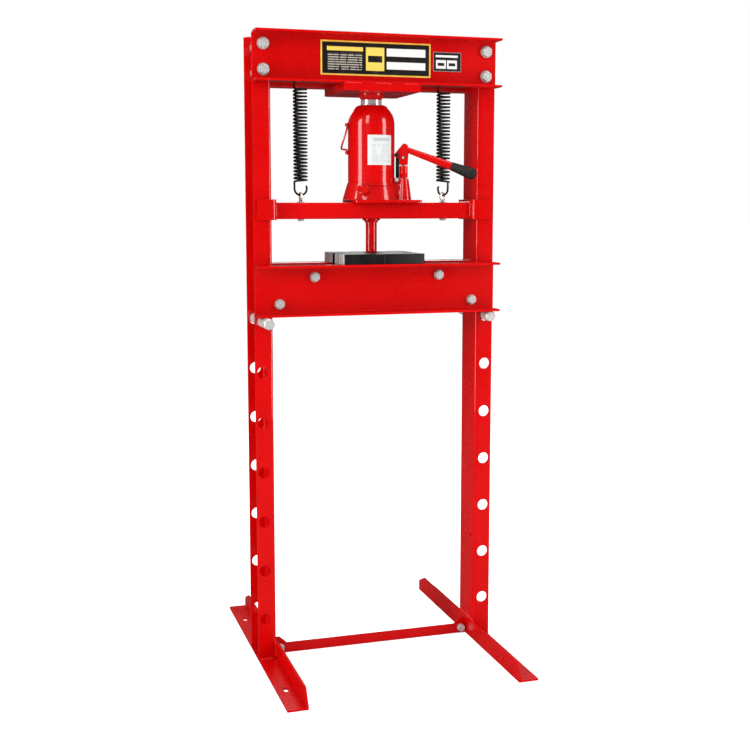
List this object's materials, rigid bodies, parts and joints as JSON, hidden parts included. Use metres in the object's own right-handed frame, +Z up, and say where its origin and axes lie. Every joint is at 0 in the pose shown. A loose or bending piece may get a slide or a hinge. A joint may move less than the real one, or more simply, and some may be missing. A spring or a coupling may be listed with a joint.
{
  "type": "hydraulic shop press",
  "caption": "Floor-standing H-frame shop press: channel uprights, bolted head, bottle jack on a sprung guide beam, pinned height-adjustable bed and arbor plates.",
  "frame": {"origin": "on the floor, midway between the uprights and midway between the front and rear ends of the feet", "axes": "+X to the right of a person facing the press, +Y from the front to the back, +Z up"},
  "size_m": [0.597, 0.7, 1.488],
  "materials": {
    "red_paint": "glossy powder coat",
    "zinc": "zinc plated, satin",
    "black_steel": "black, satin",
    "bare_steel": "machined, satin",
    "ram_chrome": "hard chrome, polished",
    "label_film": "printed film, satin",
    "label_paper": "printed paper",
    "grip_rubber": "moulded, matt",
    "soft_rubber": "moulded, matt"
  },
  "bodies": {
    "frame": {"upright_left": "red_paint", "upright_right": "red_paint", "head_beam_front": "red_paint", "head_beam_rear": "red_paint", "thrust_plate": "red_paint", "head_bolt_front_left_upper": "zinc", "head_bolt_rear_left_upper": "zinc", "head_bolt_front_left_lower": "zinc", "head_bolt_rear_left_lower": "zinc", "head_bolt_front_right_upper": "zinc", "head_bolt_rear_right_upper": "zinc", "head_bolt_front_right_lower": "zinc", "head_bolt_rear_right_lower": "zinc", "foot_left": "red_paint", "foot_right": "red_paint", "spreader_bar": "red_paint", "spreader_bolt_left": "zinc", "spreader_bolt_right": "zinc", "label_main": "label_film", "label_small": "label_film", "spring_hanger_left": "red_paint", "spring_hanger_right": "red_paint", "return_spring_left": "black_steel", "return_spring_right": "black_steel", "jack_ram": "ram_chrome", "extension_screw": "red_paint"},
    "carriage": {"guide_beam": "red_paint", "guide_bracket_left": "red_paint", "guide_bracket_right": "red_paint", "jack_seat_plate": "red_paint", "press_ram": "red_paint", "spring_eye_bolt_left": "zinc", "spring_eye_bolt_right": "zinc", "jack_base": "red_paint", "jack_reservoir": "red_paint", "oil_filler_plug": "soft_rubber", "jack_cylinder": "bare_steel", "jack_gland_nut": "bare_steel", "jack_label": "label_paper", "pump_barrel": "red_paint", "link_pin": "zinc"},
    "bed": {"bed_beam_front": "red_paint", "bed_beam_rear": "red_paint", "bed_bolt_left_upper": "zinc", "bed_bolt_right_upper": "zinc", "bed_bolt_left_lower": "zinc", "bed_bolt_right_lower": "zinc", "bed_spacer_left": "red_paint", "bed_spacer_right": "red_paint"},
    "release_valve": {"release_valve": "red_paint"},
    "carry_handle": {"carry_handle": "red_paint"},
    "pump_link": {"pump_link": "black_steel"},
    "pump_lever": {"pump_lever": "red_paint"},
    "handle": {"pump_handle": "red_paint", "handle_grip": "grip_rubber"},
    "pump_plunger": {"pump_plunger": "bare_steel"},
    "bed_pin_left": {"bed_pin_left": "zinc"},
    "bed_pin_right": {"bed_pin_right": "zinc"},
    "arbor_plate_left": {"arbor_plate_left": "black_steel"},
    "arbor_plate_right": {"arbor_plate_right": "black_steel"}
  },
  "joints": [
    {"name": "carriage_slide", "type": "slide", "parent": "frame", "child": "carriage", "axis": [0, 0, -1], "range_m": [0, 0.075], "deforming": ["return_spring_left", "return_spring_right"]},
    {"name": "bed_slide", "type": "slide", "parent": "frame", "child": "bed", "axis": [0, 0, 1], "range_m": [-0.72, 0]},
    {"name": "bed_pin_left_pull", "type": "slide", "parent": "bed", "child": "bed_pin_left", "axis": [0, -1, 0], "range_m": [0, 0.16]},
    {"name": "bed_pin_right_pull", "type": "slide", "parent": "bed", "child": "bed_pin_right", "axis": [0, -1, 0], "range_m": [0, 0.18]},
    {"name": "arbor_plate_left_slide", "type": "slide", "parent": "bed", "child": "arbor_plate_left", "axis": [-1, 0, 0], "range_m": [0, 0.06]},
    {"name": "arbor_plate_right_slide", "type": "slide", "parent": "bed", "child": "arbor_plate_right", "axis": [1, 0, 0], "range_m": [0, 0.06]},
    {"name": "link_rock", "type": "hinge", "parent": "carriage", "child": "pump_link", "pos_m": [0.05755, -0.02684, 1.1545], "axis": [0.4226, 0.9063, 0], "range_deg": [0, 0.6]},
    {"name": "handle_swing", "type": "hinge", "parent": "pump_link", "child": "pump_lever", "pos_m": [0.05755, -0.02684, 1.213], "axis": [-0.4226, -0.9063, 0], "range_deg": [0, 40]},
    {"name": "plunger_slide", "type": "slide", "parent": "carriage", "child": "pump_plunger", "axis": [0, 0, 1], "range_m": [0, 0.0108]},
    {"name": "handle_pull_out", "type": "slide", "parent": "pump_lever", "child": "handle", "axis": [0.8495, -0.3961, -0.3486], "range_m": [0, 0.075]},
    {"name": "release_valve_turn", "type": "hinge", "parent": "carriage", "child": "release_valve", "pos_m": [-0.036, -0.057, 1.131], "axis": [0, -1, 0], "range_deg": [0, 180]},
    {"name": "carry_handle_swing", "type": "hinge", "parent": "carriage", "child": "carry_handle", "pos_m": [-0.0598, 0, 1.25], "axis": [0, 0, 1], "range_deg": [-60, 60]}
  ],
  "couplings": [
    {"joint": "link_rock", "follows": "handle_swing", "ratio": 0.0115},
    {"joint": "plunger_slide", "follows": "handle_swing", "m_per_rad": 0.01536}
  ]
}
